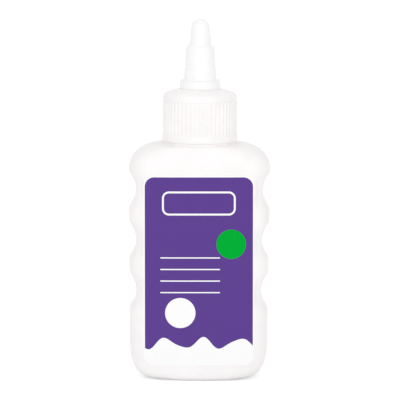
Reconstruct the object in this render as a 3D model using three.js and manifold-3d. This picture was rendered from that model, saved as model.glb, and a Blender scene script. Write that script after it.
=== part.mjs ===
// A 100 ml squeeze bottle for white glue: blow-moulded body with finger grooves, ribbed screw cap,
// twist-up nozzle on a stem with a sealing pin, foam liner and front label.
// Millimetres, +Z up. The origin is the centre of the base and the label faces -Y.
import * as THREE from "three";
import { mergeVertices } from "three/addons/utils/BufferGeometryUtils.js";
import Module from "manifold-3d";

const wasm = await Module();
wasm.setup();

// Bottle body
const bodyHeight = 87; // base to the flat top of the shoulder
const bodyWidthTop = 52.4; // where the shoulder starts
const bodyWidthBottom = 51.1; // where the bottom corner ends
const bodyDepth = 32;
const bodySquareness = 5; // power of the plan outline, 2 is an ellipse
const wall = 0.9;
const shoulderRise = 9.5;
const shoulderLedgeSide = 0.4; // flat of the shoulder beyond the collar, at the narrow sides
const shoulderLedgeFront = 0.3;
const cornerHeightSide = 13;
const cornerHeightFront = 3.5;
const cornerSquareness = 2.3; // power of the bottom corner's side round, 2 is an ellipse
const restWidth = 34; // outline that the bottle stands on
const restDepth = 27;
const restSquareness = 2;
const footRimWidth = 2.4;
const pushUp = 1.2; // hollow inside the foot rim

// Finger grooves on the narrow sides
const gripCount = 3;
const gripPitch = 18.75;
const gripDrop = 7.5; // from the start of the shoulder to the highest groove
const gripDepth = 2.6;
const gripHollowRadius = 10.9;
const gripLipRadius = 2.75;

// Front label
const labelWidth = 40.7;
const labelBottom = 6.05;
const labelTopMargin = 1.05; // from the label to the start of the shoulder
const labelCorner = 4;
const labelThickness = 0.2;
const labelGap = 0.05;
const panelMargin = 0.3; // flat panel beyond each side of the label

// Neck, to a 24 mm closure
const neckDiameter = 21.6; // at the root of the thread
const neckHeight = 17;
const neckWall = 1.9;
const collarOverhang = 2.95;
const collarHeight = 0.9;

// Liner
const linerThickness = 1;
const linerOverhang = 0.9; // past the neck's wall, inwards and outwards
const seatGap = 0.05; // between faces that press on each other

// Screw cap
const threadRoom = 1.4; // between the neck and the cap's bore
const skirtWall = 1.1;
const capGap = 0.15; // under the cap's flange
const flangeOverhang = 0.65;
const flangeHeight = 3.1;
const flareHeight = 1.5; // upper part of the flange, where the ribs run out
const ribCount = 50;
const ribHeight = 0.38;
const ribTipShare = 0.38; // of the pitch
const ribRootShare = 0.3;
const capCornerWidth = 0.8; // rounding between the ribs and the dome
const capCornerHeight = 2.4;
const crownHeight = 3; // deck's underside to the top of its dome, on the axis
const domeRadius = 34;
const deckRecess = 1.4; // hollow under the deck, inside the liner
const deckRecessInset = 0.7;

// Stem and sealing pin, one piece with the cap
const stemDiameter = 8.2;
const stemHeight = 9.8; // from the nozzle's seat to the stem's shoulder
const stemBore = 5.2;
const stemBorePoint = 0.6; // height of the cone that ends the bore
const beadHeight = 1.4; // ring that seals on the nozzle's bore
const beadDrop = 3; // from the seat to the bead
const portCount = 3;
const portWidth = 2.3;
const portHeight = 3;
const rodDiameter = 3;
const stemConeHeight = 3;
const pinDiameter = 2;
const pinLength = 2.2;
const pinChamfer = 0.25;
const pinDrop = 0.3; // from the nozzle's mouth down to the pin's end

// Twist nozzle
const footDiameter = 14.9;
const footHeight = 3;
const footChamfer = 0.3;
const lowerConeHeight = 12.3;
const lowerConeBottomDiameter = 12.1;
const lowerConeTopDiameter = 10.4;
const stepHeight = 0.9;
const upperConeHeight = 7.7;
const upperConeBottomDiameter = 8.15;
const upperConeTopDiameter = 6.4;
const tipHeight = 1.4;
const tipBulge = 0.5; // the tip's edge is rounded over this height
const mouthRimWidth = 0.3;
const mouthLength = 1.7;
const runningGap = 0.1; // nozzle to bead, and mouth to pin
const nozzleWall = 1.3;
const upperWall = 1.55; // at the foot of the upper cone
const boreTaper = 0.55; // how far the bore draws in below the mouth, and begins to below the step
const stemRoom = 0.3; // over the stem's shoulder

// Facets
const outerSides = 44;
const innerSides = 28;
const stemSides = 24;
const nozzleSides = 32;
const cornerSteps = 4;
const domeSteps = 4;

// Levels and radii that follow from the sizes above
const shoulderStart = bodyHeight - shoulderRise;
const neckRadius = neckDiameter / 2;
const boreRadius = neckRadius - neckWall;
const collarRadius = neckRadius + collarOverhang;
const lipZ = bodyHeight + neckHeight;
const deckUnderZ = lipZ + linerThickness + 2 * seatGap;
const capBottomZ = bodyHeight + collarHeight + capGap;
const skirtBoreRadius = neckRadius + threadRoom;
const ribRootRadius = skirtBoreRadius + skirtWall;
const ribTipRadius = ribRootRadius + ribHeight;
const flangeRadius = ribRootRadius + flangeOverhang;
const flangeTopZ = capBottomZ + flangeHeight;
const crownZ = deckUnderZ + crownHeight;
const domeZ = (r) => crownZ - domeRadius + Math.sqrt(domeRadius ** 2 - r ** 2);
const domeEdge = ribTipRadius - capCornerWidth;
const ribTopZ = domeZ(domeEdge) - capCornerHeight;
const footRadius = footDiameter / 2;
const seatRadius = footRadius + 2 * seatGap;
const seatZ = domeZ(seatRadius);
const nozzleBottomZ = seatZ + seatGap;
const footTopZ = nozzleBottomZ + footHeight;
const stepZ = footTopZ + lowerConeHeight;
const upperConeZ = stepZ + stepHeight;
const tipZ = upperConeZ + upperConeHeight;
const mouthZ = tipZ + tipHeight;
const lowerBoreRadius = lowerConeBottomDiameter / 2 - nozzleWall;
const stemRadius = stemDiameter / 2;
const stemShoulderZ = seatZ + stemHeight;
const stemBoreTopZ = stemShoulderZ - (stemDiameter - stemBore) / 2;
const beadTopZ = seatZ + beadDrop + beadHeight;
const panelHalfWidth = labelWidth / 2 + panelMargin;

// Groove section: a hollow arc that meets a lip arc on each side, in line with the body's edge.
const gripReach = gripHollowRadius + gripLipRadius;
const gripAngle = Math.acos(1 - gripDepth / gripReach);
const gripHalfHeight = gripReach * Math.sin(gripAngle);

// Closed solids for joining and cutting.
function solid(geometry) {
  const bare = geometry.clone();
  bare.deleteAttribute("normal");
  bare.deleteAttribute("uv");
  const merged = mergeVertices(bare, 1e-4);
  const corners = merged.index.array;
  const triangles = [];
  for (let i = 0; i < corners.length; i += 3) {
    const [a, b, c] = corners.slice(i, i + 3);
    if (a !== b && b !== c && c !== a) triangles.push(a, b, c);
  }
  return new wasm.Manifold(
    new wasm.Mesh({
      numProp: 3,
      vertProperties: merged.attributes.position.array,
      triVerts: new Uint32Array(triangles),
    }),
  );
}

function piece(name, body, material) {
  const { vertProperties, triVerts } = body.getMesh();
  const geometry = new THREE.BufferGeometry();
  geometry.setAttribute("position", new THREE.BufferAttribute(vertProperties, 3));
  geometry.setIndex(new THREE.BufferAttribute(triVerts, 1));
  geometry.computeVertexNormals();
  const mesh = new THREE.Mesh(geometry, material);
  mesh.name = name;
  return mesh;
}

// A solid of revolution about Z from a profile of [radius, height], anticlockwise with radius to the right.
function revolved(profile, sides) {
  const points = profile.map(([r, z]) => new THREE.Vector2(r, z));
  return solid(new THREE.LatheGeometry(points, sides).rotateX(Math.PI / 2));
}

// A solid through a stack of rings with equal counts of points, closed by a flat fan at each end.
function lofted(rings) {
  const sides = rings[0].length;
  const positions = rings.flat(2);
  const faces = [];
  for (let k = 0; k + 1 < rings.length; k++) {
    for (let i = 0; i < sides; i++) {
      const next = (i + 1) % sides;
      const [a, b] = [k * sides + i, k * sides + next];
      const [c, d] = [a + sides, b + sides];
      faces.push(a, b, d, a, d, c);
    }
  }
  const last = (rings.length - 1) * sides;
  for (let i = 1; i + 1 < sides; i++) {
    faces.push(0, i + 1, i);
    faces.push(last, last + i, last + i + 1);
  }
  const geometry = new THREE.BufferGeometry();
  geometry.setAttribute("position", new THREE.Float32BufferAttribute(positions, 3));
  geometry.setIndex(faces);
  return solid(geometry);
}

// Body section: half width, half depth and squareness at a height, for a surface set in by inset.
const quarterRound = (u, power = 2) => Math.max(0, 1 - (1 - Math.min(u, 1)) ** power) ** (1 / power);
const mix = (a, b, u) => a + (b - a) * u;

function bodySection(z, inset) {
  const share = (Math.min(z, shoulderStart) - cornerHeightSide) / (shoulderStart - cornerHeightSide);
  const width = mix(bodyWidthBottom, bodyWidthTop, share) / 2;
  const side = quarterRound((z - inset) / (cornerHeightSide - inset), cornerSquareness);
  const front = quarterRound((z - inset) / (cornerHeightFront - inset));
  const top = quarterRound((bodyHeight - inset - z) / (shoulderRise - inset));
  if (z < shoulderStart) {
    return {
      halfWidth: mix(restWidth / 2, width, side) - inset,
      halfDepth: mix(restDepth / 2, bodyDepth / 2, front) - inset,
      power: mix(restSquareness, bodySquareness, side),
    };
  }
  return {
    halfWidth: mix(collarRadius + shoulderLedgeSide, width, top) - inset,
    halfDepth: mix(collarRadius + shoulderLedgeFront, bodyDepth / 2, top) - inset,
    power: mix(2, bodySquareness, top),
  };
}

function grooveDepth(offset) {
  const u = Math.abs(offset);
  if (u >= gripHalfHeight) return 0;
  if (u > gripHollowRadius * Math.sin(gripAngle)) {
    return gripLipRadius - Math.sqrt(gripLipRadius ** 2 - (gripHalfHeight - u) ** 2);
  }
  return gripDepth - gripHollowRadius + Math.sqrt(gripHollowRadius ** 2 - u ** 2);
}

const gripLevels = Array.from({ length: gripCount }, (_, i) => shoulderStart - gripDrop - i * gripPitch);
const gripDepthAt = (z) => gripLevels.reduce((sum, level) => sum + grooveDepth(z - level), 0);

// Plan outline at a height. The grooves draw in only what lies beyond the label panel.
function bodyRing(z, inset, sides) {
  const { halfWidth, halfDepth, power } = bodySection(z, inset);
  const grip = gripDepthAt(z);
  const ring = [];
  for (let i = 0; i < sides; i++) {
    const angle = (i / sides) * 2 * Math.PI;
    const [c, s] = [Math.cos(angle), Math.sin(angle)];
    const x = halfWidth * Math.sign(c) * Math.abs(c) ** (2 / power);
    const y = halfDepth * Math.sign(s) * Math.abs(s) ** (2 / power);
    const u = THREE.MathUtils.smoothstep(Math.abs(x), panelHalfWidth - inset, halfWidth);
    ring.push([x - Math.sign(c) * grip * u, y, z]);
  }
  return ring;
}

function roundRing(radius, z, sides) {
  const angles = Array.from({ length: sides }, (_, i) => (i / sides) * 2 * Math.PI);
  return angles.map((angle) => [radius * Math.cos(angle), radius * Math.sin(angle), z]);
}

// Heights at which the body needs a ring, lowest first: corner, grooves and shoulder.
function bodyLevels(inset, cornerSteps, hollowSteps, lipSteps) {
  const levels = [];
  for (let i = 0; i <= cornerSteps; i++) {
    const fall = Math.cos((i / cornerSteps) * (Math.PI / 2));
    levels.push(mix(cornerHeightSide, inset, fall));
    levels.push(mix(shoulderStart, bodyHeight - inset, fall));
  }
  if (hollowSteps) {
    for (const level of gripLevels) {
      for (let i = 0; i <= hollowSteps; i++) {
        const angle = mix(-gripAngle, gripAngle, i / hollowSteps);
        levels.push(level + gripHollowRadius * Math.sin(angle));
      }
      for (let i = 0; i < lipSteps; i++) {
        const reach = gripHalfHeight - gripLipRadius * Math.sin((i / lipSteps) * gripAngle);
        levels.push(level - reach, level + reach);
      }
    }
  }
  const inside = levels.filter((z) => z >= inset && z <= bodyHeight - inset);
  inside.sort((a, b) => a - b);
  return inside.filter((z, i) => i === 0 || z - inside[i - 1] > 0.02);
}

function bodySurface(inset, sides, steps) {
  return bodyLevels(inset, ...steps).map((z) => bodyRing(z, inset, sides));
}

// Underside, from the push-up in the middle out to the foot rim.
function footRings(inset, sides) {
  const scaled = (margin, z) => {
    const ring = bodyRing(inset, inset, sides);
    const kx = 1 - margin / (restWidth / 2);
    const ky = 1 - margin / (restDepth / 2);
    return ring.map(([x, y]) => [x * kx, y * ky, z]);
  };
  return [scaled(2 * footRimWidth, inset + pushUp), scaled(footRimWidth, inset)];
}

function makeBottle() {
  const outside = lofted([
    ...footRings(0, outerSides),
    ...bodySurface(0, outerSides, [6, 5, 2]),
    roundRing(collarRadius, bodyHeight, outerSides),
    roundRing(collarRadius, bodyHeight + collarHeight, outerSides),
    roundRing(neckRadius, bodyHeight + collarHeight, outerSides),
    roundRing(neckRadius, lipZ, outerSides),
  ]);
  const cavity = lofted([
    ...footRings(wall, innerSides),
    ...bodySurface(wall, innerSides, [4, 3, 1]),
    roundRing(boreRadius, bodyHeight - wall, innerSides),
    roundRing(boreRadius, lipZ + wall, innerSides),
  ]);
  return outside.subtract(cavity);
}

// The label is the part of a thin skin over the body that lies in a rounded rectangle.
function makeLabel() {
  const skin = (inset) => lofted(bodySurface(inset, outerSides, [6, 0, 0]));
  const height = shoulderStart - labelTopMargin - labelBottom;
  const [w, h] = [labelWidth / 2, height / 2];
  const k = w - labelCorner;
  const m = h - labelCorner;
  const shape = new THREE.Shape();
  shape.absarc(k, m, labelCorner, 0, Math.PI / 2);
  shape.absarc(-k, m, labelCorner, Math.PI / 2, Math.PI);
  shape.absarc(-k, -m, labelCorner, Math.PI, 1.5 * Math.PI);
  shape.absarc(k, -m, labelCorner, 1.5 * Math.PI, 2 * Math.PI);
  const prism = new THREE.ExtrudeGeometry(shape, { depth: bodyDepth, bevelEnabled: false, curveSegments: 5 });
  prism.rotateX(Math.PI / 2).translate(0, 0, labelBottom + h);
  return skin(-labelGap - labelThickness).subtract(skin(-labelGap)).intersect(solid(prism));
}

function makeLiner() {
  const inner = boreRadius - linerOverhang;
  const outer = neckRadius + linerOverhang;
  const [low, high] = [lipZ + seatGap, lipZ + seatGap + linerThickness];
  const profile = [
    [inner, low],
    [outer, low],
    [outer, high],
    [inner, high],
    [inner, low],
  ];
  return revolved(profile, nozzleSides);
}

// Rounding from the top of the ribs to the edge of the dome, which it meets along the dome's slope.
function capCorner() {
  const fall = (capCornerWidth * domeEdge) / Math.sqrt(domeRadius ** 2 - domeEdge ** 2);
  const ribTop = new THREE.Vector2(ribTipRadius, ribTopZ);
  const bend = new THREE.Vector2(ribTipRadius, domeZ(domeEdge) - fall);
  const edge = new THREE.Vector2(domeEdge, domeZ(domeEdge));
  const curve = new THREE.QuadraticBezierCurve(ribTop, bend, edge);
  return curve.getPoints(cornerSteps).map((point) => point.toArray());
}

function makeRibs() {
  const pitch = (2 * Math.PI) / ribCount;
  const outline = [];
  for (let i = 0; i < ribCount; i++) {
    const corners = [
      [ribTipRadius, -ribTipShare / 2],
      [ribTipRadius, ribTipShare / 2],
      [ribRootRadius - seatGap, 0.5 - ribRootShare / 2],
      [ribRootRadius - seatGap, 0.5 + ribRootShare / 2],
    ];
    for (const [radius, share] of corners) {
      const angle = (i + share) * pitch;
      outline.push(new THREE.Vector2(radius * Math.cos(angle), radius * Math.sin(angle)));
    }
  }
  const shape = new THREE.Shape(outline);
  const inner = new THREE.Path();
  inner.absarc(0, 0, ribRootRadius - skirtWall / 2, 0, 2 * Math.PI, true);
  shape.holes.push(inner);
  const low = flangeTopZ - flareHeight;
  const options = { depth: ribTopZ - low, bevelEnabled: false, curveSegments: ribCount / 2 };
  return solid(new THREE.ExtrudeGeometry(shape, options).translate(0, 0, low));
}

// The skirt flares out into the flange below, and its ribs end where the top's corner begins.
function makeShell() {
  const recessRadius = boreRadius - linerOverhang - deckRecessInset;
  const profile = [
    [0, deckUnderZ + deckRecess],
    [recessRadius - deckRecessInset, deckUnderZ + deckRecess],
    [recessRadius, deckUnderZ],
    [skirtBoreRadius, deckUnderZ],
    [skirtBoreRadius, capBottomZ],
    [flangeRadius, capBottomZ],
    [flangeRadius, flangeTopZ - flareHeight],
    [ribRootRadius, flangeTopZ],
    [ribRootRadius, ribTopZ - ribHeight],
    ...capCorner(),
  ];
  for (let i = 1; i <= domeSteps; i++) {
    const radius = mix(domeEdge, seatRadius, i / domeSteps);
    profile.push([radius, domeZ(radius)]);
  }
  profile.push([0, seatZ]);
  return revolved(profile, ribCount);
}

function makeStem() {
  const beadRadius = lowerBoreRadius - runningGap;
  const slope = beadRadius - stemRadius;
  const pinTopZ = mouthZ - pinDrop;
  const pinRadius = pinDiameter / 2;
  const rodRadius = rodDiameter / 2;
  const profile = [
    [0, deckUnderZ + deckRecess],
    [stemRadius, deckUnderZ + deckRecess],
    [stemRadius, seatZ + beadDrop - slope],
    [beadRadius, seatZ + beadDrop],
    [beadRadius, beadTopZ - slope],
    [stemRadius, beadTopZ],
    [stemRadius, stemShoulderZ],
    [rodRadius, stemShoulderZ + stemConeHeight],
    [rodRadius, pinTopZ - pinLength - rodRadius + pinRadius],
    [pinRadius, pinTopZ - pinLength],
    [pinRadius, pinTopZ - pinChamfer],
    [pinRadius - pinChamfer, pinTopZ],
    [0, pinTopZ],
  ];
  return revolved(profile, stemSides);
}

// Glue rises in the stem's bore and leaves by the ports in its side.
function makeStemHollows() {
  const profile = [
    [0, deckUnderZ],
    [stemBore / 2, deckUnderZ],
    [stemBore / 2, stemBoreTopZ - stemBorePoint],
    [0, stemBoreTopZ],
  ];
  let hollows = revolved(profile, stemSides);
  const portZ = stemBoreTopZ - stemBorePoint - portHeight / 2;
  for (let i = 0; i < portCount; i++) {
    const port = new THREE.BoxGeometry(stemDiameter, portWidth, portHeight);
    port.translate(stemDiameter / 2, 0, portZ).rotateZ((i / portCount) * 2 * Math.PI - Math.PI / 2);
    hollows = hollows.add(solid(port));
  }
  return hollows;
}

function makeScrewCap() {
  return makeShell().add(makeRibs()).add(makeStem()).subtract(makeStemHollows());
}

function makeNozzle() {
  const mouthRadius = pinDiameter / 2 + runningGap;
  const rimRadius = mouthRadius + mouthRimWidth;
  const tipRadius = upperConeTopDiameter / 2;
  const coneShare = (stemShoulderZ - footTopZ) / lowerConeHeight;
  const midBoreRadius = mix(lowerConeBottomDiameter, lowerConeTopDiameter, coneShare) / 2 - nozzleWall;
  const upperBoreRadius = upperConeBottomDiameter / 2 - upperWall;
  const profile = [
    [lowerBoreRadius, nozzleBottomZ],
    [footRadius, nozzleBottomZ],
    [footRadius, footTopZ - footChamfer],
    [footRadius - footChamfer, footTopZ],
    [lowerConeBottomDiameter / 2, footTopZ],
    [lowerConeTopDiameter / 2, stepZ],
    [upperConeBottomDiameter / 2, upperConeZ],
    [tipRadius, tipZ],
    [tipRadius - mouthRimWidth, tipZ + tipBulge],
    [rimRadius, mouthZ],
    [mouthRadius, mouthZ],
    [mouthRadius, mouthZ - mouthLength],
    [upperBoreRadius - boreTaper, mouthZ - mouthLength - 2 * boreTaper],
    [upperBoreRadius, stepZ - boreTaper],
    [midBoreRadius, stemShoulderZ + stemRoom],
    [lowerBoreRadius, beadTopZ],
    [lowerBoreRadius, nozzleBottomZ],
  ];
  return revolved(profile, nozzleSides);
}

const plastic = (color, roughness) => new THREE.MeshStandardMaterial({ color, roughness, metalness: 0 });

const glueBottle = new THREE.Group();
glueBottle.name = "glue_bottle";
glueBottle.add(
  piece("bottle", makeBottle(), plastic(0xf7f7f5, 0.38)),
  piece("front_label", makeLabel(), plastic(0x614495, 0.5)),
  piece("cap_liner", makeLiner(), plastic(0xeeeeea, 0.85)),
  piece("screw_cap", makeScrewCap(), plastic(0xf6f6f4, 0.34)),
  piece("twist_nozzle", makeNozzle(), plastic(0xf8f8f7, 0.32)),
);

export default glueBottle;
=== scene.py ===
# The looks of a white glue bottle: its fine mouldings, printed label, liner and finishes
import math

import bmesh
import bpy
import numpy as np
from mathutils import Matrix, Vector


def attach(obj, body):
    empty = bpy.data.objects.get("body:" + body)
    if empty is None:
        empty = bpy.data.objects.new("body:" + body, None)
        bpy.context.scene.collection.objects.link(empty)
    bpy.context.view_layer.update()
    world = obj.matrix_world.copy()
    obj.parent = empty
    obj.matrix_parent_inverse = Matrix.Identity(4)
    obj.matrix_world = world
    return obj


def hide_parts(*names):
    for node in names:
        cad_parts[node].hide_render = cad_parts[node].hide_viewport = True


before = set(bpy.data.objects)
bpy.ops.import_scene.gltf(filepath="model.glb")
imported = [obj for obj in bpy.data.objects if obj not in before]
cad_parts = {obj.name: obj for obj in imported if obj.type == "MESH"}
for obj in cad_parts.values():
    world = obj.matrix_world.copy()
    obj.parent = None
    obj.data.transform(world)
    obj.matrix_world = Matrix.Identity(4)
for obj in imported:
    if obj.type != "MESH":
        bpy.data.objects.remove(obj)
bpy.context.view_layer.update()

# Sizes are in millimetres and become metres when a mesh is finished
MM = 0.001

# Bottle body
BODY_HEIGHT = 87
BODY_WIDTH_TOP = 52.4
BODY_WIDTH_BOTTOM = 51.1
BODY_DEPTH = 32
BODY_SQUARENESS = 5
WALL = 0.9
SHOULDER_RISE = 9.5
LEDGE_SIDE = 0.4
LEDGE_FRONT = 0.3
CORNER_HEIGHT_SIDE = 13
CORNER_HEIGHT_FRONT = 3.5
CORNER_SQUARENESS = 2.3
REST_WIDTH = 34
REST_DEPTH = 27
REST_SQUARENESS = 2
FOOT_RIM = 2.4
PUSH_UP = 1.2
PUSH_UP_RISE = (FOOT_RIM * 0.9, FOOT_RIM * 2.2)

# Finger grooves
GRIP_COUNT = 3
GRIP_PITCH = 18.75
GRIP_DROP = 7.5
GRIP_DEPTH = 2.6
GRIP_HOLLOW_RADIUS = 10.9
GRIP_LIP_RADIUS = 2.75
GRIP_FACET = 0.52
GRIP_EDGE = 0.5

# Moulding marks on the bottle
SEAM_HEIGHT = 0.07
SEAM_WIDTH = 0.22
SEAM_FADE = (0.3, 4)
PINCH_HEIGHT = 0.35
PINCH_WIDTH = 0.45
PINCH_HALF_LENGTH = 11.5
PINCH_FADE = 1.5

# Label
LABEL_WIDTH = 40.7
LABEL_BOTTOM = 6.05
LABEL_TOP_MARGIN = 1.05
LABEL_CORNER = 4
LABEL_TILT = math.radians(0.37)
LABEL_FILM = 0.1
LABEL_GLUE = 0.03
PANEL_MARGIN = 0.3

# Printing on the label, measured across and up from its middle
# A wave is its length, height and start, and a disc is its place and radius
PRINT_EDGE = 0.03
PRINT_BORDER = 0.45
WAVE_LEVEL = -26.9
LONG_WAVE = (13.6, 1.9, 0.9)
SHORT_WAVE = (8.1, 0.5, 0)
BOX_LEVEL = 25.1
BOX_HALF_SIZE = (13.2, 4.1)
BOX_CORNER = 2.2
BOX_STROKE = 0.35
LINE_COUNT = 4
LINE_PLACE = (-3.2, 4.9)
LINE_PITCH = 4.3
LINE_HALF_SIZE = (11, 0.22)
LINE_CORNER = 0.2
WHITE_DISC = (-6.85, -15.6, 5.6)
GREEN_DISC = (11.9, 9.95, 5.45)

# Neck and its thread
NECK_RADIUS = 10.8
NECK_HEIGHT = 17
BORE_RADIUS = 8.9
COLLAR_RADIUS = 13.75
COLLAR_HEIGHT = 0.9
THREAD_PITCH = 3.175
THREAD_FOOT = 0.95
THREAD_CREST = 0.4
NECK_THREAD_HEIGHT = 1.1
NECK_THREAD_START = 97.1
NECK_THREAD_TURNS = 1.5
CAP_THREAD_HEIGHT = 1.0
CAP_THREAD_START = 92.3
CAP_THREAD_TURNS = 2.2
THREAD_RUNOUT = 0.09

# Liner
LINER_INNER_RADIUS = 8
LINER_OUTER_RADIUS = 11.7
LINER_THICKNESS = 1
SEAT_GAP = 0.05

# Screw cap
SKIRT_BORE_RADIUS = 12.2
RIB_ROOT_RADIUS = 13.3
RIB_HEIGHT = 0.38
RIB_COUNT = 50
RIB_PHASE = 0.25
RIB_TIP_SHARE = 0.38
RIB_ROOT_SHARE = 0.3
FLANGE_RADIUS = 13.95
FLANGE_HEIGHT = 3.1
FLARE_HEIGHT = 1.5
CAP_GAP = 0.05
CAP_CORNER_WIDTH = 0.8
CAP_CORNER_HEIGHT = 2.4
CROWN_HEIGHT = 3
DOME_RADIUS = 34
DECK_RECESS = 1.4
DECK_RECESS_INSET = 0.7

# Stem and sealing pin
STEM_RADIUS = 4.1
STEM_HEIGHT = 9.8
STEM_BORE_RADIUS = 2.6
STEM_BORE_POINT = 0.6
BEAD_RADIUS = 4.65
BEAD_DROP = 3
BEAD_HEIGHT = 1.4
PORT_COUNT = 3
PORT_WIDTH = 2.3
PORT_HEIGHT = 3
ROD_RADIUS = 1.5
STEM_CONE_HEIGHT = 3
PIN_RADIUS = 1
PIN_LENGTH = 2.2
PIN_DROP = 0.3
LIFT_THREAD_STARTS = 2
LIFT_THREAD_LEAD = 6.4
LIFT_THREAD_HEIGHT = 0.42
LIFT_THREAD_START = 0.4
LIFT_THREAD_FADE = (1.5, 1.9)
LIFT_THREAD_CREST = 0.15
LIFT_THREAD_FOOT = 0.4

# Twist nozzle
NOZZLE_GAP = 0.02
NOZZLE_FOOT_RADIUS = 7.45
NOZZLE_FOOT_HEIGHT = 3
LOWER_CONE_HEIGHT = 12.3
LOWER_CONE_BOTTOM = 6.05
LOWER_CONE_TOP = 5.2
STEP_HEIGHT = 0.9
UPPER_CONE_HEIGHT = 7.7
UPPER_CONE_BOTTOM = 4.075
UPPER_CONE_TOP = 3.2
TIP_HEIGHT = 1.6
TIP_BULGE = 0.5
MOUTH_RADIUS = 1.1
MOUTH_RIM = 0.3
MOUTH_LENGTH = 1.7
NOZZLE_WALL = 1.3
UPPER_WALL = 1.55
BORE_TAPER = 0.55
STEM_ROOM = 0.3

# Where the bottle's finish changes, as distances from its middle planes and its foot
RUBBED_SIDES = (23.5, 26)
SEAM_TONE_WIDTH = (0.15, 0.6)
SEAM_TONE_START = (9, 11)
FOOT_TONE = (0, 1.2)

# Fineness of the meshes
QUARTER_COLUMNS = 52
FOOT_STEPS = 14
CORNER_STEPS = 22
SIDE_STEP = 0.42
INNER_STEPS = 8
INNER_SIDE_STEP = 1.4
BORE_STEPS = 12
CAP_BORE_STEP = 0.25
LABEL_COLUMNS = 72
LABEL_ROWS = 120
LINER_COLUMNS = 128
CAP_COLUMNS = RIB_COUNT * 8
NOZZLE_COLUMNS = 144

# Camera: the photograph's long lens, low view and slight lean
IMAGE_SIZE = 400
PIXEL = 0.371
DISTANCE = 1600
ELEVATION = math.radians(7.4)
LEAN = math.radians(0.37)
MIDDLE_Z = 66.5
MIDDLE_PIXEL = (199.35, 197.49)
SENSOR = 36

# Light, in metres: a white surround, a pale floor and three soft lamps, each aimed at the bottle
SURROUND = 0.83
FLOOR_RADIUS = 6
FLOOR_LIT_TONE = 0.95
FLOOR_SEEN_TONE = 0.6
FLOOR_SEEN_LIFT = 0.55
LAMPS = {
    "key": {"place": (-0.45, -1.2, 0.3), "target": (0, 0, 0.07), "size": 0.6, "power": 1.75},
    "fill": {"place": (0.45, -1.2, 0.3), "target": (0, 0, 0.07), "size": 0.6, "power": 1.65},
    "top": {"place": (0, 0, 1.2), "target": (0, 0, 0.08), "size": 0.8, "power": 0.9},
}

# Levels that follow from the sizes above
shoulder_start = BODY_HEIGHT - SHOULDER_RISE
lip_z = BODY_HEIGHT + NECK_HEIGHT
collar_top = BODY_HEIGHT + COLLAR_HEIGHT
deck_under = lip_z + LINER_THICKNESS + 2 * SEAT_GAP
cap_bottom = collar_top + CAP_GAP
flange_top = cap_bottom + FLANGE_HEIGHT
crown_z = deck_under + CROWN_HEIGHT
seat_radius = NOZZLE_FOOT_RADIUS + 2 * NOZZLE_GAP
panel_half_width = LABEL_WIDTH / 2 + PANEL_MARGIN
label_top = shoulder_start - LABEL_TOP_MARGIN
label_middle = (LABEL_BOTTOM + label_top) / 2
label_half_height = (label_top - LABEL_BOTTOM) / 2


def dome_z(radius):
    return crown_z - DOME_RADIUS + math.sqrt(DOME_RADIUS**2 - radius**2)


rib_tip_radius = RIB_ROOT_RADIUS + RIB_HEIGHT
dome_edge = rib_tip_radius - CAP_CORNER_WIDTH
rib_top = dome_z(dome_edge) - CAP_CORNER_HEIGHT
seat_z = dome_z(seat_radius)
nozzle_bottom = seat_z + NOZZLE_GAP
foot_top = nozzle_bottom + NOZZLE_FOOT_HEIGHT
step_z = foot_top + LOWER_CONE_HEIGHT
upper_cone_z = step_z + STEP_HEIGHT
tip_z = upper_cone_z + UPPER_CONE_HEIGHT
mouth_z = tip_z + TIP_HEIGHT
bead_z = seat_z + BEAD_DROP
stem_shoulder = seat_z + STEM_HEIGHT
stem_bore_top = stem_shoulder - (STEM_RADIUS - STEM_BORE_RADIUS)
lower_bore_radius = LOWER_CONE_BOTTOM - NOZZLE_WALL

# Groove section: a hollow arc that meets a lip arc on each side
grip_reach = GRIP_HOLLOW_RADIUS + GRIP_LIP_RADIUS
grip_angle = math.acos(1 - GRIP_DEPTH / grip_reach)
grip_half_height = grip_reach * math.sin(grip_angle)
grip_levels = [shoulder_start - GRIP_DROP - i * GRIP_PITCH for i in range(GRIP_COUNT)]


def mix(a, b, share):
    return a + (b - a) * share


def smoothstep(low, high, value):
    share = np.clip((value - low) / (high - low), 0, 1)
    return share * share * (3 - 2 * share)


def quarter_round(u, power=2):
    return np.maximum(0, 1 - (1 - np.minimum(u, 1)) ** power) ** (1 / power)


def hump(share):
    """Rises from 0 to 1 over the first third of the way and falls back to 0 at its end."""
    return 6.75 * share * (1 - share) ** 2


# Finished pieces
def piece(name, bm, body, node, material, sharp=40):
    """Turns a bmesh in millimetres into the finished piece that stands for a CAD node."""
    bmesh.ops.remove_doubles(bm, verts=bm.verts, dist=1e-4)
    bmesh.ops.dissolve_degenerate(bm, edges=bm.edges, dist=1e-4)
    bmesh.ops.recalc_face_normals(bm, faces=bm.faces)
    mesh = bpy.data.meshes.new(name)
    bm.to_mesh(mesh)
    bm.free()
    mesh.transform(Matrix.Scale(MM, 4))
    mesh.shade_smooth()
    mesh.set_sharp_from_angle(angle=math.radians(sharp))
    mesh.materials.append(material)
    made = bpy.data.objects.new(name, mesh)
    bpy.context.scene.collection.objects.link(made)
    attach(made, body)
    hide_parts(node)


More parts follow.
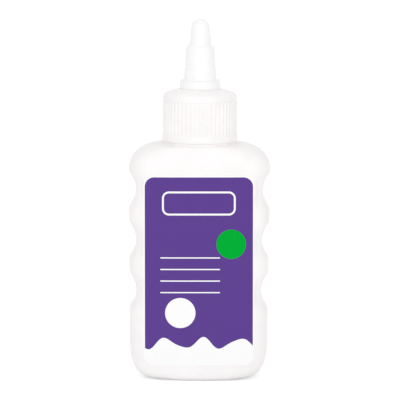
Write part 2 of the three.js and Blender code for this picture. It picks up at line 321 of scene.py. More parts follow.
# Profiles and surfaces of revolution
def rounded(corners, step=1.0, arc_steps=4):
    """Points of a profile through [radius, height, fillet] corners, with its long runs divided."""
    points = []
    for i, (radius, height, fillet) in enumerate(corners):
        here = np.array([radius, height], float)
        if fillet == 0:
            points.append(here)
            continue
        back = np.array(corners[i - 1][:2]) - here
        ahead = np.array(corners[i + 1][:2]) - here
        room = 0.49 * min(np.linalg.norm(back), np.linalg.norm(ahead))
        back = back / np.linalg.norm(back)
        ahead = ahead / np.linalg.norm(ahead)
        half = math.acos(np.clip(back @ ahead, -1, 1)) / 2
        reach = min(fillet / math.tan(half), room)
        size = reach * math.tan(half)
        bisector = (back + ahead) / np.linalg.norm(back + ahead)
        centre = here + bisector * size / math.sin(half)
        start = here + back * reach - centre
        end = here + ahead * reach - centre
        sweep = math.pi - 2 * half
        for k in range(arc_steps + 1):
            share = k / arc_steps
            first = math.sin((1 - share) * sweep) / math.sin(sweep)
            second = math.sin(share * sweep) / math.sin(sweep)
            points.append(centre + start * first + end * second)
    divided = [points[0]]
    for point in points[1:]:
        start = divided[-1]
        runs = max(1, math.ceil(np.linalg.norm(point - start) / step))
        divided += [mix(start, point, k / runs) for k in range(1, runs + 1)]
    return divided


def wrapped(rings):
    """A grid wrapped round a stack of rings, with its seam merged."""
    rows, columns = rings.shape[:2]
    bm = bmesh.new()
    bmesh.ops.create_grid(bm, x_segments=columns, y_segments=rows - 1, size=0.5)
    for vert in bm.verts:
        column = round((vert.co.x + 0.5) * columns) % columns
        row = round((vert.co.y + 0.5) * (rows - 1))
        vert.co = rings[row, column]
    bmesh.ops.remove_doubles(bm, verts=bm.verts, dist=1e-4)
    return bm


def revolved(profile, columns, sectors=8):
    """A profile of [radius, height] points spun about the axis: one sector first, then its copies."""
    bm = bmesh.new()
    line = [bm.verts.new((radius, 0, height)) for radius, height in profile]
    edges = [bm.edges.new(pair) for pair in zip(line, line[1:])]
    about = {"cent": (0, 0, 0), "axis": (0, 0, 1)}
    share = 2 * math.pi / sectors
    bmesh.ops.spin(bm, geom=line + edges, angle=share, steps=columns // sectors, **about)
    sector = bm.verts[:] + bm.edges[:] + bm.faces[:]
    rest = 2 * math.pi - share
    bmesh.ops.spin(bm, geom=sector, angle=rest, steps=sectors - 1, use_duplicate=True, **about)
    bmesh.ops.remove_doubles(bm, verts=bm.verts, dist=1e-4)
    return bm


def bent(start, corner, end, steps):
    """Points of the smooth curve that leaves start towards corner and reaches end from it."""
    t = np.linspace(0, 1, steps + 1)[:, None]
    return list((1 - t) ** 2 * start + 2 * t * (1 - t) * corner + t**2 * end)


def reshape(bm, change):
    """Moves each vertex outwards to the radius that change(radius, angle, height) gives."""
    places = np.array([v.co for v in bm.verts])
    radius = np.hypot(places[:, 0], places[:, 1])
    angle = np.arctan2(places[:, 1], places[:, 0])
    wanted = change(radius, angle, places[:, 2])
    scale = np.where(radius > 1e-6, wanted / np.maximum(radius, 1e-6), 1)
    for vert, factor in zip(bm.verts, scale):
        vert.co.x *= factor
        vert.co.y *= factor


def thread(angle, z, start, turns):
    """Height share, 0 to 1, of a right-handed ridge that winds up from the level start."""
    turn = angle / (2 * math.pi)
    wound = (z - start) / THREAD_PITCH
    nearest = np.round(wound - turn) + turn
    nearest = np.clip(nearest, 0, turns)
    whole = np.round(nearest - turn)
    on_helix = turn + whole
    ends = smoothstep(0, THREAD_RUNOUT, on_helix) * smoothstep(0, THREAD_RUNOUT, turns - on_helix)
    off = np.abs(z - (start + on_helix * THREAD_PITCH))
    return ends * (1 - smoothstep(THREAD_CREST, THREAD_FOOT, off))


# Bottle
def body_section(z, inset=0.0):
    """Half width, half depth and squareness of the body at height z, for a surface set in by inset."""
    share = (min(z, shoulder_start) - CORNER_HEIGHT_SIDE) / (shoulder_start - CORNER_HEIGHT_SIDE)
    width = mix(BODY_WIDTH_BOTTOM, BODY_WIDTH_TOP, share) / 2
    if z < shoulder_start:
        side = quarter_round((z - inset) / (CORNER_HEIGHT_SIDE - inset), CORNER_SQUARENESS)
        front = quarter_round((z - inset) / (CORNER_HEIGHT_FRONT - inset))
        half_width = mix(REST_WIDTH / 2, width, side)
        half_depth = mix(REST_DEPTH / 2, BODY_DEPTH / 2, front)
        power = mix(REST_SQUARENESS, BODY_SQUARENESS, side)
    else:
        top = quarter_round((BODY_HEIGHT - inset - z) / (SHOULDER_RISE - inset))
        half_width = mix(COLLAR_RADIUS + LEDGE_SIDE, width, top)
        half_depth = mix(COLLAR_RADIUS + LEDGE_FRONT, BODY_DEPTH / 2, top)
        power = mix(2, BODY_SQUARENESS, top)
    return float(half_width) - inset, float(half_depth) - inset, float(power)


def groove_depth(z):
    """How far the finger grooves draw in the narrow sides at height z."""
    depth = 0.0
    for level in grip_levels:
        offset = abs(z - level)
        if offset >= grip_half_height:
            continue
        if offset > GRIP_HOLLOW_RADIUS * math.sin(grip_angle):
            lip = GRIP_LIP_RADIUS**2 - (grip_half_height - offset) ** 2
            depth += GRIP_LIP_RADIUS - math.sqrt(lip)
        else:
            depth += GRIP_DEPTH - GRIP_HOLLOW_RADIUS + math.sqrt(GRIP_HOLLOW_RADIUS**2 - offset**2)
    return depth


def plan_ring(half_width, half_depth, power, z, grip=0.0, inset=0.0):
    """Points round a squared ellipse: evenly spaced, but close by the parting line."""
    angle = np.linspace(0, math.pi / 2, 361)
    reach = (np.cos(angle) / half_width) ** power + (np.sin(angle) / half_depth) ** power
    reach = reach ** (-1 / power)
    x = reach * np.cos(angle)
    y = reach * np.sin(angle)
    length = np.concatenate([[0], np.cumsum(np.hypot(np.diff(x), np.diff(y)))])
    near = np.array([0, 0.003, 0.007])
    places = np.concatenate([near, np.linspace(0.013, 1, QUARTER_COLUMNS - 2)]) * length[-1]
    x = np.interp(places, length, x)
    y = np.interp(places, length, y)
    corner = np.clip((x - panel_half_width + inset) / (half_width - panel_half_width + inset), 0, 1)
    cut = GRIP_FACET * max(0, grip - GRIP_EDGE) * hump(corner)
    x = x - grip * corner
    y = y - np.minimum(cut, y)
    ring_x = np.concatenate([x[:-1], -x[:0:-1], -x[:-1], x[:0:-1]])
    ring_y = np.concatenate([y[:-1], y[:0:-1], -y[:-1], -y[:0:-1]])
    return np.stack([ring_x, ring_y, np.full_like(ring_x, z)], axis=1)


def body_rings(levels, inset=0.0):
    rings = []
    for z in levels:
        half_width, half_depth, power = body_section(z, inset)
        rings.append(plan_ring(half_width, half_depth, power, z, groove_depth(z), inset))
    return rings


def round_rings(profile):
    return [plan_ring(radius, radius, 2, z) for radius, z in profile]


def body_levels(inset, corner_steps, side_step):
    """Heights of the body's rings: close together round both corners, even along the grooves."""
    fall = np.cos(np.linspace(0, math.pi / 2, corner_steps + 1))
    corner = np.sort(mix(CORNER_HEIGHT_SIDE, inset, fall))
    shoulder = np.sort(mix(shoulder_start, BODY_HEIGHT - inset, fall))
    count = round((shoulder_start - CORNER_HEIGHT_SIDE) / side_step)
    sides = np.linspace(CORNER_HEIGHT_SIDE, shoulder_start, count + 1)[1:-1]
    return np.concatenate([corner, sides, shoulder])


def foot_rings(inset, steps):
    """Rings of the base, from the middle of the push-up out to the foot rim."""
    half_width, half_depth, power = body_section(inset, inset)
    rings = []
    for share in np.linspace(0.001, 1, steps + 1)[:-1]:
        margin = (1 - share) * half_depth
        rise = PUSH_UP * smoothstep(*PUSH_UP_RISE, margin)
        rings.append(plan_ring(share * half_width, share * half_depth, power, inset + rise))
    return rings


def surface_normals(rings):
    """Outward directions over a stack of rings that runs up the outside."""
    around = np.roll(rings, -1, axis=1) - np.roll(rings, 1, axis=1)
    along = np.gradient(rings, axis=0)
    normals = np.cross(around, along)
    return normals / np.maximum(np.linalg.norm(normals, axis=2, keepdims=True), 1e-9)


def moulding_marks(rings):
    """Parting line up both narrow sides, and the pinch-off weld across the base."""
    x, y, z = rings[..., 0], rings[..., 1], rings[..., 2]
    seam = SEAM_HEIGHT * np.exp(-((y / SEAM_WIDTH) ** 2)) * smoothstep(*SEAM_FADE, z)
    weld = PINCH_HEIGHT * np.exp(-((y / PINCH_WIDTH) ** 2))
    weld *= 1 - smoothstep(PINCH_HALF_LENGTH - PINCH_FADE, PINCH_HALF_LENGTH, np.abs(x))
    weld *= z < PUSH_UP + 0.1
    weld *= smoothstep(PUSH_UP * 0.3, PUSH_UP, z)
    return (seam + weld)[..., None] * surface_normals(rings)


def neck_profile():
    return rounded(
        [
            (COLLAR_RADIUS + LEDGE_FRONT, BODY_HEIGHT, 0),
            (COLLAR_RADIUS, BODY_HEIGHT, 0.25),
            (COLLAR_RADIUS, collar_top, 0.12),
            (NECK_RADIUS, collar_top, 0.6),
            (NECK_RADIUS, lip_z, 0.35),
            (BORE_RADIUS, lip_z, 0.35),
            (BORE_RADIUS, BODY_HEIGHT - WALL, 0),
        ],
        step=0.24,
        arc_steps=3,
    )


def bottle_mesh():
    outside = foot_rings(0, FOOT_STEPS) + body_rings(body_levels(0, CORNER_STEPS, SIDE_STEP))
    neck = [p for p in neck_profile()[1:] if p[0] > BORE_RADIUS + 0.01]
    bore = [(BORE_RADIUS, z) for z in np.linspace(lip_z - 0.4, BODY_HEIGHT - WALL, BORE_STEPS)]
    inner_levels = body_levels(WALL, INNER_STEPS, INNER_SIDE_STEP)
    inside = foot_rings(WALL, INNER_STEPS) + body_rings(inner_levels, WALL)
    shell = np.array(outside + round_rings(neck))
    shell = shell + moulding_marks(shell)
    bm = wrapped(np.concatenate([shell, np.array(round_rings(bore)), np.array(inside[::-1])]))
    open_middles = [edge for edge in bm.edges if edge.is_boundary]
    bmesh.ops.holes_fill(bm, edges=open_middles, sides=0)
    reshape(bm, neck_surface)
    return bm


def neck_surface(radius, angle, z):
    """Adds the neck's thread."""
    on_neck = (np.abs(radius - NECK_RADIUS) < 0.2) & (z > collar_top + 1) & (z < lip_z - 0.5)
    ridge = NECK_THREAD_HEIGHT * thread(angle, z, NECK_THREAD_START, NECK_THREAD_TURNS)
    return np.where(on_neck, radius + ridge, radius)


# Label
def label_mesh():
    """A rounded rectangle of film that follows the front of the body, stuck on slightly askew."""
    bm = bmesh.new()
    bmesh.ops.create_grid(bm, x_segments=LABEL_COLUMNS, y_segments=LABEL_ROWS, size=1)
    half_width = LABEL_WIDTH / 2
    for vert in bm.verts:
        x = vert.co.x * half_width
        z = vert.co.y * label_half_height
        over_x = (abs(x) - half_width + LABEL_CORNER) / LABEL_CORNER
        over_z = (abs(z) - label_half_height + LABEL_CORNER) / LABEL_CORNER
        if over_x > 0 and over_z > 0:
            round_x = over_x * math.sqrt(1 - over_z**2 / 2)
            round_z = over_z * math.sqrt(1 - over_x**2 / 2)
            x = math.copysign(half_width + (round_x - 1) * LABEL_CORNER, x)
            z = math.copysign(label_half_height + (round_z - 1) * LABEL_CORNER, z)
        across = x * math.cos(LABEL_TILT) - z * math.sin(LABEL_TILT)
        height = x * math.sin(LABEL_TILT) + z * math.cos(LABEL_TILT) + label_middle
        body_half_width, half_depth, power = body_section(height)
        front = half_depth * (1 - abs(across / body_half_width) ** power) ** (1 / power)
        vert.co = (across, -front - LABEL_GLUE - LABEL_FILM, height)
    bmesh.ops.recalc_face_normals(bm, faces=bm.faces)
    if sum(face.normal.y for face in bm.faces) > 0:
        bmesh.ops.reverse_faces(bm, faces=bm.faces)
    bmesh.ops.solidify(bm, geom=bm.faces[:], thickness=LABEL_FILM)
    return bm


# Liner
def liner_mesh():
    low = lip_z + SEAT_GAP
    high = low + LINER_THICKNESS
    inner, outer = LINER_INNER_RADIUS, LINER_OUTER_RADIUS
    profile = rounded(
        [
            ((inner + outer) / 2, low, 0),
            (outer, low, 0.12),
            (outer, high, 0.12),
            (inner, high, 0.12),
            (inner, low, 0.12),
            ((inner + outer) / 2, low, 0),
        ],
        step=0.8,
        arc_steps=3,
    )
    return revolved(profile, LINER_COLUMNS)


# Screw cap
def cap_profile():
    """From the end of the pin, over the stem, the dome and the skirt, back up to the stem's bore."""
    pin_top = mouth_z - PIN_DROP
    slope = BEAD_RADIUS - STEM_RADIUS
    recess_radius = LINER_INNER_RADIUS - DECK_RECESS_INSET
    stem = rounded(
        [
            (0, pin_top, 0),
            (PIN_RADIUS, pin_top, 0.22),
            (PIN_RADIUS, pin_top - PIN_LENGTH, 0.2),
            (ROD_RADIUS, pin_top - PIN_LENGTH - ROD_RADIUS + PIN_RADIUS, 0.2),
            (ROD_RADIUS, stem_shoulder + STEM_CONE_HEIGHT, 0.5),
            (STEM_RADIUS, stem_shoulder, 0.4),
            (STEM_RADIUS, bead_z + BEAD_HEIGHT, 0.2),
            (BEAD_RADIUS, bead_z + BEAD_HEIGHT - slope, 0.3),
            (BEAD_RADIUS, bead_z, 0.3),
            (STEM_RADIUS, bead_z - slope, 0.2),
            (STEM_RADIUS, seat_z, 0.3),
            (seat_radius - 0.2, seat_z, 0),
        ],
        step=0.7,
        arc_steps=3,
    )
    dome = [np.array([r, dome_z(r)]) for r in np.linspace(seat_radius, dome_edge, 9)]
    fall = CAP_CORNER_WIDTH * dome_edge / math.sqrt(DOME_RADIUS**2 - dome_edge**2)
    bend = np.array([rib_tip_radius, dome_z(dome_edge) - fall])
    corner = bent(dome[-1], bend, np.array([rib_tip_radius, rib_top]), 10)
    skirt = rounded(
        [
            (rib_tip_radius, rib_top, 0),
            (RIB_ROOT_RADIUS, rib_top - RIB_HEIGHT, 0.3),
            (RIB_ROOT_RADIUS, flange_top, 0.8),
            (FLANGE_RADIUS, flange_top - FLARE_HEIGHT, 1.2),
            (FLANGE_RADIUS, cap_bottom, 0.1),
            (SKIRT_BORE_RADIUS + 0.3, cap_bottom, 0.1),
            (SKIRT_BORE_RADIUS, cap_bottom + 0.5, 0),
        ],
        step=0.8,
        arc_steps=4,
    )
    levels = np.arange(cap_bottom + 1, deck_under - 0.8, CAP_BORE_STEP)
    bore = [np.array([SKIRT_BORE_RADIUS, z]) for z in levels]
    deck = rounded(
        [
            (SKIRT_BORE_RADIUS, deck_under - 0.6, 0),
            (SKIRT_BORE_RADIUS, deck_under, 0.2),
            (recess_radius, deck_under, 0.2),
            (recess_radius - DECK_RECESS_INSET, deck_under + DECK_RECESS, 0.3),
            (STEM_BORE_RADIUS, deck_under + DECK_RECESS, 0.3),
            (STEM_BORE_RADIUS, stem_bore_top - STEM_BORE_POINT, 0.2),
            (0, stem_bore_top, 0),
        ],
        step=0.95,
        arc_steps=3,
    )
    return stem + dome + corner[1:] + skirt[1:] + bore + deck


def cap_surface(radius, angle, z):
    """Adds the ribs, the skirt's inner thread and the short lifting thread on the stem."""
    share = np.abs((angle * RIB_COUNT / (2 * math.pi) + RIB_PHASE) % 1 - 0.5)
    rib = smoothstep(RIB_ROOT_SHARE / 2, 0.5 - RIB_TIP_SHARE / 2, share)
    on_wall = (radius > RIB_ROOT_RADIUS - 0.1) & (z > flange_top - FLARE_HEIGHT) & (z < rib_top)
    ribbed = np.maximum(radius, RIB_ROOT_RADIUS + RIB_HEIGHT * rib)
    in_bore = np.abs(radius - SKIRT_BORE_RADIUS) < 0.05
    in_bore &= (z > cap_bottom + 0.9) & (z < deck_under - 0.7)
    ridge = CAP_THREAD_HEIGHT * thread(angle, z, CAP_THREAD_START, CAP_THREAD_TURNS)
    on_stem = np.abs(radius - STEM_RADIUS) < 0.05
    on_stem &= (z > seat_z) & (z < seat_z + BEAD_DROP - 0.5)
    made = np.where(on_wall, ribbed, radius)
    made = np.where(in_bore, radius - ridge, made)
    return np.where(on_stem, radius + LIFT_THREAD_HEIGHT * lift_thread(angle, z), made)


def lift_thread(angle, z):
    """The nozzle's short quick thread, with as many starts as LIFT_THREAD_STARTS."""
    high = 0.0
    for i in range(LIFT_THREAD_STARTS):
        turned = (angle + i * 2 * math.pi / LIFT_THREAD_STARTS) % (2 * math.pi)
        rise = LIFT_THREAD_START + LIFT_THREAD_LEAD * turned / (2 * math.pi)
        off = np.abs(z - seat_z - rise)
        ridge = 1 - smoothstep(LIFT_THREAD_CREST, LIFT_THREAD_FOOT, off)
        high = np.maximum(high, ridge * (1 - smoothstep(*LIFT_THREAD_FADE, rise)))
    return high


def open_ports(bm):
    """Cuts the glue ports through the stem's wall and bridges their rims, inside to outside."""
    top = stem_bore_top - STEM_BORE_POINT
    half_angle = math.asin(PORT_WIDTH / 2 / STEM_RADIUS)
    for i in range(PORT_COUNT):
        middle = i * 2 * math.pi / PORT_COUNT - math.pi / 2
        going = []
        for face in bm.faces:
            centre = face.calc_center_median()
            radius = math.hypot(centre.x, centre.y)
            off = math.remainder(math.atan2(centre.y, centre.x) - middle, 2 * math.pi)
            level = top - PORT_HEIGHT < centre.z < top
            if abs(off) < half_angle and level and STEM_BORE_RADIUS - 0.2 < radius < STEM_RADIUS + 0.1:
                going.append(face)
        bmesh.ops.delete(bm, geom=going, context="FACES")
        rims = [edge for edge in bm.edges if edge.is_boundary]
        bmesh.ops.bridge_loops(bm, edges=rims)


def cap_mesh():
    bm = revolved(cap_profile(), CAP_COLUMNS)
    reshape(bm, cap_surface)
    open_ports(bm)
    return bm


# Nozzle
def nozzle_mesh():
    rim_radius = MOUTH_RADIUS + MOUTH_RIM
    share = (stem_shoulder - foot_top) / LOWER_CONE_HEIGHT
    mid_bore = mix(LOWER_CONE_BOTTOM, LOWER_CONE_TOP, share) - NOZZLE_WALL
    upper_bore = UPPER_CONE_BOTTOM - UPPER_WALL
    foot_middle = (NOZZLE_FOOT_RADIUS + lower_bore_radius) / 2
    profile = rounded(
        [
            (foot_middle, nozzle_bottom, 0),
            (NOZZLE_FOOT_RADIUS, nozzle_bottom, 0.04),
            (NOZZLE_FOOT_RADIUS, foot_top, 0.35),
            (LOWER_CONE_BOTTOM, foot_top, 0.3),
            (LOWER_CONE_TOP, step_z, 0.45),
            (UPPER_CONE_BOTTOM, upper_cone_z, 0.5),
            (UPPER_CONE_TOP, tip_z, 0.5),
            (UPPER_CONE_TOP - MOUTH_RIM, tip_z + TIP_BULGE, 0.4),
            (rim_radius, mouth_z, 0.18),
            (MOUTH_RADIUS, mouth_z, 0.12),
            (MOUTH_RADIUS, mouth_z - MOUTH_LENGTH, 0.2),
            (upper_bore - BORE_TAPER, mouth_z - MOUTH_LENGTH - 2 * BORE_TAPER, 0.5),
            (upper_bore, step_z - BORE_TAPER, 0.5),
            (mid_bore, stem_shoulder + STEM_ROOM, 0.5),
            (lower_bore_radius, bead_z + BEAD_HEIGHT, 0.5),
            (lower_bore_radius, nozzle_bottom, 0.2),
            (foot_middle, nozzle_bottom, 0),
        ],
        step=0.9,
        arc_steps=4,
    )
    return revolved(profile, NOZZLE_COLUMNS)


# Shader maths
class Value:
    """A number in a material's nodes. An expression on values adds the Math nodes that work it out."""

    def __init__(self, graph, socket):
        self.graph = graph
        self.socket = socket

    def math(self, operation, *others):
        inputs = dict(enumerate((self, *others)))
        return self.graph.node("Math", {"operation": operation}, inputs)

    def __add__(self, other):
        return self.math("ADD", other)

    def __sub__(self, other):
        return self.math("SUBTRACT", other)

    def __rsub__(self, other):
        return (self * -1) + other

    def __mul__(self, other):
        return self.math("MULTIPLY", other)

    __radd__ = __add__
    __rmul__ = __mul__

    def __abs__(self):
        return self.math("ABSOLUTE")

    def at_least(self, other):
        return self.math("MAXIMUM", other)

    def at_most(self, other):
        return self.math("MINIMUM", other)

    def rise(self, low, high, start=0.0, end=1.0):
        """start below low, end above high, and a smooth way between them."""
        settings = {"interpolation_type": "SMOOTHSTEP"}
        inputs = {"Value": self, "From Min": low, "From Max": high, "To Min": start, "To Max": end}
        return self.graph.node("MapRange", settings, inputs)


class Graph:
    """The nodes of one material, which end in its Principled shader."""

    def __init__(self, name):
        self.material = bpy.data.materials.new(name)
        self.material.use_nodes = True
        self.tree = self.material.node_tree
        self.shader = self.tree.nodes["Principled BSDF"]
        self.place = self.node("TexCoord", output="Object")

    def node(self, kind, settings=None, inputs=None, output=0):
        made = self.tree.nodes.new("ShaderNode" + kind)
        for name, value in (settings or {}).items():
            setattr(made, name, value)
        for name, value in (inputs or {}).items():
            self.feed(made.inputs[name], value)
        return Value(self, made.outputs[output])

    def feed(self, socket, value):
        if isinstance(value, Value):
            self.tree.links.new(value.socket, socket)
        else:
            socket.default_value = value

    def coordinates(self):
        """The three Object coordinates, in millimetres."""
        parts = [self.node("SeparateXYZ", inputs={0: self.place}, output=axis) for axis in range(3)]
        return [part * (1 / MM) for part in parts]

    def noise(self, size, stretch=(1, 1, 1), detail=2.0, roughness=0.5):
        """Noise from 0 to 1, whose features are about size millimetres across."""
        scaled = self.node("VectorMath", {"operation": "MULTIPLY"}, {0: self.place, 1: stretch})
        inputs = {"Vector": scaled, "Scale": 1 / (size * MM), "Detail": detail, "Roughness": roughness}
        return self.node("TexNoise", inputs=inputs)

    def blend(self, factor, first, second):
        """The first colour where factor is 0, the second where it is 1."""
        return self.node("Mix", {"data_type": "RGBA"}, {0: factor, 6: first, 7: second}, output=2)

    def finish(self, colour, roughness, height, depth, reflection=0.5):
        """Feeds the shader. The bump's height varies by depth millimetres."""
        bump = self.node("Bump", inputs={"Height": height, "Distance": depth * MM})
        self.feed(self.shader.inputs["Base Color"], colour)
        self.feed(self.shader.inputs["Roughness"], roughness)
        self.feed(self.shader.inputs["Normal"], bump)
        self.feed(self.shader.inputs["Specular IOR Level"], reflection)
        return self.material


def linear(*channels):
    """A colour as the shader wants it, from the 0 to 255 values of a screen."""
    shares = [channel / 255 for channel in channels]
    made = [s / 12.92 if s <= 0.04045 else ((s + 0.055) / 1.055) ** 2.4 for s in shares]
    return (*made, 1.0)


# Finishes
def blown_plastic():
    """White polyethylene from a blow mould: satin, faintly uneven, scuffed where hands hold it."""
    g = Graph("blown_polyethylene")
    x, y, z = g.coordinates()
    cloud = g.noise(14, detail=3)
    peel = g.noise(0.9, detail=2)
    flow = g.noise(2.4, stretch=(1, 1, 0.14), detail=2)
    scuff = g.noise(0.5, stretch=(1, 1, 0.3), detail=4, roughness=0.7).rise(0.6, 0.75)
    handled = abs(x).rise(*RUBBED_SIDES)
    seam = abs(y).rise(*SEAM_TONE_WIDTH, 1, 0) * abs(x).rise(*SEAM_TONE_START)
    tone = g.blend(cloud.rise(0.3, 0.7), linear(250, 247, 247), linear(246, 243, 243))
    tone = g.blend(seam * 0.35, tone, linear(234, 231, 230))
    tone = g.blend(z.rise(*FOOT_TONE, 0.15, 0), tone, linear(228, 224, 221))
    roughness = 0.36 + cloud * 0.08 + scuff * handled * 0.14
    return g.finish(tone, roughness, peel * 0.7 + flow * 0.3, 0.035)


def moulded_cap_plastic():
    """White polypropylene: smoother than the bottle, with faint flow lines down the skirt."""
    g = Graph("moulded_polypropylene")
    cloud = g.noise(9, detail=2)
    flow = g.noise(1.6, stretch=(1, 1, 0.08), detail=2)
    grain = g.noise(0.22, detail=2)
    tone = g.blend(cloud.rise(0.3, 0.7), linear(250, 247, 247), linear(247, 244, 244))
    roughness = 0.3 + cloud * 0.06 + flow * 0.05
    return g.finish(tone, roughness, grain * 0.6 + flow * 0.4, 0.005)


def moulded_nozzle_plastic():
    """The nozzle's softer polyethylene, a little glossier and milkier."""
    g = Graph("moulded_soft_polyethylene")
    cloud = g.noise(6, detail=2)
    flow = g.noise(1.3, stretch=(1, 1, 0.1), detail=3)
    tone = g.blend(cloud.rise(0.3, 0.7), linear(250, 249, 249), linear(247, 246, 246))
    roughness = 0.28 + flow * 0.08
    return g.finish(tone, roughness, flow * 0.5 + cloud * 0.5, 0.012)


def liner_foam():
    """Closed-cell foam."""
    g = Graph("closed_cell_foam")
    cells = g.node("TexVoronoi", inputs={"Vector": g.place, "Scale": 1 / (0.35 * MM)})
    tone = g.blend(cells.rise(0.1, 0.6), linear(228, 227, 222), linear(240, 239, 235))
    return g.finish(tone, 0.8 + cells * 0.1, cells, 0.06)


def printed_film():
    """White label film, printed violet inside a narrow border, with plain generic shapes."""
    g = Graph("printed_film")
    x, _, z = g.coordinates()
    height = z - label_middle
    across = x * math.cos(LABEL_TILT) + height * math.sin(LABEL_TILT)
    up = height * math.cos(LABEL_TILT) - x * math.sin(LABEL_TILT)

    def inked(distance):
        return distance.rise(-PRINT_EDGE, PRINT_EDGE, 1, 0)

    def length(a, b):
        return (a * a + b * b).math("SQRT")

    def rounded_box(cx, cz, half_x, half_z, corner):
        dx = abs(across - cx) - (half_x - corner)
        dz = abs(up - cz) - (half_z - corner)
        outside = length(dx.at_least(0), dz.at_least(0))
        return outside + dx.at_least(dz).at_most(0) - corner

    def disc(cx, cz, radius):
        return length(across - cx, up - cz) - radius

    def ripple(span, rise, start):
        return (across * (2 * math.pi / span) + start).math("SINE") * rise

    half_x = LABEL_WIDTH / 2 - PRINT_BORDER
    half_z = label_half_height - PRINT_BORDER
    field = rounded_box(0, 0, half_x, half_z, LABEL_CORNER - PRINT_BORDER)
    below_wave = ripple(*LONG_WAVE) + ripple(*SHORT_WAVE) - up + WAVE_LEVEL
    violet = inked(field.at_least(below_wave))
    white = inked(abs(rounded_box(0, BOX_LEVEL, *BOX_HALF_SIZE, BOX_CORNER)) - BOX_STROKE)
    line_x, line_z = LINE_PLACE
    for i in range(LINE_COUNT):
        line = rounded_box(line_x, line_z - LINE_PITCH * i, *LINE_HALF_SIZE, LINE_CORNER)
        white = white.at_least(inked(line))
    white = white.at_least(inked(disc(*WHITE_DISC)))
    green = inked(disc(*GREEN_DISC))
    grain = g.noise(0.12, detail=2)
    cloud = g.noise(5, detail=2)
    bare = g.blend(cloud, linear(252, 252, 252), linear(249, 249, 249))
    ink = g.blend(grain * 0.6 + cloud * 0.4, linear(93, 64, 142), linear(97, 68, 146))
    tone = g.blend(violet, bare, ink)
    tone = g.blend(white, tone, bare)
    tone = g.blend(green, tone, linear(0, 172, 54))
    roughness = 0.42 + grain * 0.08 - violet * 0.05
    return g.finish(tone, roughness, grain * 0.4 + cloud * 0.6, 0.01, reflection=0.02)


# Build the pieces
bottle_finish = blown_plastic()
piece("bottle_shell", bottle_mesh(), "bottle_body", "bottle", bottle_finish, 50)
piece("label_film", label_mesh(), "bottle_body", "front_label", printed_film())
piece("foam_liner", liner_mesh(), "liner_body", "cap_liner", liner_foam())
piece("ribbed_cap", cap_mesh(), "cap_body", "screw_cap", moulded_cap_plastic(), 50)
nozzle_finish = moulded_nozzle_plastic()
piece("stepped_nozzle", nozzle_mesh(), "nozzle_body", "twist_nozzle", nozzle_finish)


# Camera and light
def make_camera():
    back = Vector((0, -math.cos(ELEVATION), math.sin(ELEVATION)))
    level_up = Vector((0, math.sin(ELEVATION), math.cos(ELEVATION)))
    level_right = Vector((1, 0, 0))
    right = level_right * math.cos(LEAN) + level_up * math.sin(LEAN)
    up = level_up * math.cos(LEAN) - level_right * math.sin(LEAN)
    off_right = (IMAGE_SIZE / 2 - MIDDLE_PIXEL[0]) * PIXEL
    off_up = (MIDDLE_PIXEL[1] - IMAGE_SIZE / 2) * PIXEL
    target = Vector((0, 0, MIDDLE_Z)) + right * off_right + up * off_up
    place = (target + back * DISTANCE) * MM
    data = bpy.data.cameras.new("camera")
    data.sensor_width = SENSOR
    data.lens = SENSOR * DISTANCE / (IMAGE_SIZE * PIXEL)
    data.clip_start = 0.05
    data.clip_end = 20
    camera = bpy.data.objects.new("camera", data)
    camera.matrix_world = Matrix.Translation(place) @ Matrix((right, up, back)).transposed().to_4x4()
    bpy.context.scene.collection.objects.link(camera)
    bpy.context.scene.camera = camera


def area_lamp(name, place, target, size, power):
    data = bpy.data.lights.new(name, "AREA")
    data.shape = "DISK"
    data.size = size
    data.energy = power
    lamp = bpy.data.objects.new(name, data)
    lamp.location = place
    lamp.rotation_euler = (Vector(target) - Vector(place)).to_track_quat("-Z", "Y").to_euler()
    bpy.context.scene.collection.objects.link(lamp)


def seen_rays(tree):
    """1 for the rays that show the background: those of the camera, reflections and clear plastic."""
    path = tree.nodes.new("ShaderNodeLightPath")
    total = path.outputs["Is Camera Ray"]
    for name in ("Is Glossy Ray", "Is Transmission Ray"):
        add = tree.nodes.new("ShaderNodeMath")
        add.operation = "ADD"
        add.use_clamp = True
        tree.links.new(total, add.inputs[0])
        tree.links.new(path.outputs[name], add.inputs[1])
        total = add.outputs[0]
    return total


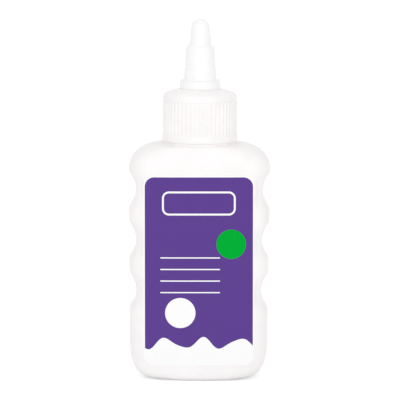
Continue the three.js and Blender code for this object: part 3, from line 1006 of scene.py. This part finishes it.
def make_world():
    world = bpy.data.worlds.new("studio")
    bpy.context.scene.world = world
    world.use_nodes = True
    tree = world.node_tree
    shown = tree.nodes.new("ShaderNodeMapRange")
    tree.links.new(seen_rays(tree), shown.inputs["Value"])
    shown.inputs["To Min"].default_value = SURROUND
    shown.inputs["To Max"].default_value = 1.0
    background = tree.nodes["Background"]
    background.inputs["Color"].default_value = (1, 1, 1, 1)
    tree.links.new(shown.outputs[0], background.inputs["Strength"])


def make_floor():
    """A pale floor that lights the object in full. The camera sees its soft shadow at half strength."""
    bm = bmesh.new()
    bmesh.ops.create_circle(bm, cap_ends=True, segments=64, radius=FLOOR_RADIUS)
    mesh = bpy.data.meshes.new("floor")
    bm.to_mesh(mesh)
    bm.free()
    floor = bpy.data.objects.new("floor", mesh)
    bpy.context.scene.collection.objects.link(floor)
    material = bpy.data.materials.new("white_sweep")
    material.use_nodes = True
    tree = material.node_tree
    tree.nodes.clear()
    seen = seen_rays(tree)
    card = tree.nodes.new("ShaderNodeBsdfDiffuse")
    tone = tree.nodes.new("ShaderNodeMapRange")
    tone.inputs["To Min"].default_value = FLOOR_LIT_TONE
    tone.inputs["To Max"].default_value = FLOOR_SEEN_TONE
    share = tree.nodes.new("ShaderNodeMath")
    share.operation = "MULTIPLY"
    share.inputs[1].default_value = FLOOR_SEEN_LIFT
    lift = tree.nodes.new("ShaderNodeEmission")
    both = tree.nodes.new("ShaderNodeAddShader")
    output = tree.nodes.new("ShaderNodeOutputMaterial")
    tree.links.new(seen, tone.inputs["Value"])
    tree.links.new(tone.outputs[0], card.inputs["Color"])
    tree.links.new(seen, share.inputs[0])
    tree.links.new(share.outputs[0], lift.inputs["Strength"])
    tree.links.new(card.outputs[0], both.inputs[0])
    tree.links.new(lift.outputs[0], both.inputs[1])
    tree.links.new(both.outputs[0], output.inputs["Surface"])
    mesh.materials.append(material)


make_camera()
make_world()
make_floor()
for lamp_name, lamp_settings in LAMPS.items():
    area_lamp(lamp_name, **lamp_settings)
bpy.context.scene.view_settings.view_transform = "Standard"
